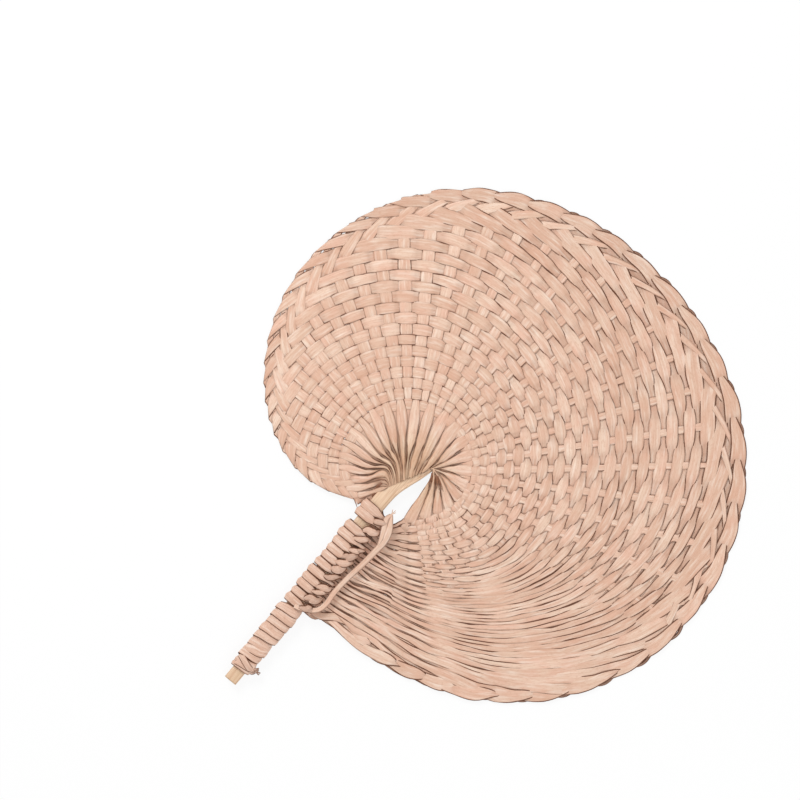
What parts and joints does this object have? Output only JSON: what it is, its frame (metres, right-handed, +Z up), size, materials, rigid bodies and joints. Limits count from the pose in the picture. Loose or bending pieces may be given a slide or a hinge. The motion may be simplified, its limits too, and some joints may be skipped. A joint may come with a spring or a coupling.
{
  "type": "palm leaf hand fan",
  "caption": "Peach-shaped hand fan woven from one palm leaf: strips radiate from a flat stalk, fold at the rim and return as wefts lashed to the handle.",
  "frame": {"origin": "under the middle of the fan's box, on the surface that the fan lies on", "axes": "+Z up out of the blade's face, -Y along the handle to its free end, +X to the blade's larger lobe"},
  "size_m": [0.3458, 0.3856, 0.0123],
  "materials": {
    "stalk": "dry, smooth split stalk",
    "leaf": "dried leaf strip, satin",
    "leaf_wrap": "dried leaf strip, satin"
  },
  "bodies": {
    "root": {"handle_stick": "stalk", "leaf_strip_01": "leaf", "leaf_strip_02": "leaf", "leaf_strip_03": "leaf", "leaf_strip_04": "leaf", "leaf_strip_05": "leaf", "leaf_strip_06": "leaf", "leaf_strip_07": "leaf", "leaf_strip_08": "leaf", "leaf_strip_09": "leaf", "leaf_strip_10": "leaf", "leaf_strip_11": "leaf", "leaf_strip_12": "leaf", "leaf_strip_13": "leaf", "leaf_strip_14": "leaf", "leaf_strip_15": "leaf", "leaf_strip_16": "leaf", "leaf_strip_17": "leaf", "leaf_strip_18": "leaf", "leaf_strip_19": "leaf", "leaf_strip_20": "leaf", "leaf_strip_21": "leaf", "leaf_strip_22": "leaf", "leaf_strip_23": "leaf", "leaf_strip_24": "leaf", "leaf_strip_25": "leaf", "leaf_strip_26": "leaf", "leaf_strip_27": "leaf", "leaf_strip_28": "leaf", "leaf_strip_29": "leaf", "leaf_strip_30": "leaf", "leaf_strip_31": "leaf", "leaf_strip_32": "leaf", "leaf_strip_33": "leaf", "leaf_strip_34": "leaf", "leaf_strip_35": "leaf", "leaf_strip_36": "leaf", "leaf_strip_37": "leaf", "leaf_strip_38": "leaf", "leaf_strip_39": "leaf", "leaf_strip_40": "leaf", "leaf_strip_41": "leaf", "leaf_strip_42": "leaf", "leaf_strip_43": "leaf", "leaf_strip_44": "leaf", "leaf_strip_45": "leaf", "leaf_strip_46": "leaf", "leaf_strip_47": "leaf", "leaf_strip_48": "leaf", "lashing": "leaf_wrap", "hitch_row": "leaf_wrap", "grip_wrap": "leaf_wrap", "end_knot": "leaf_wrap", "tie_strand": "leaf_wrap"}
  },
  "joints": []
}
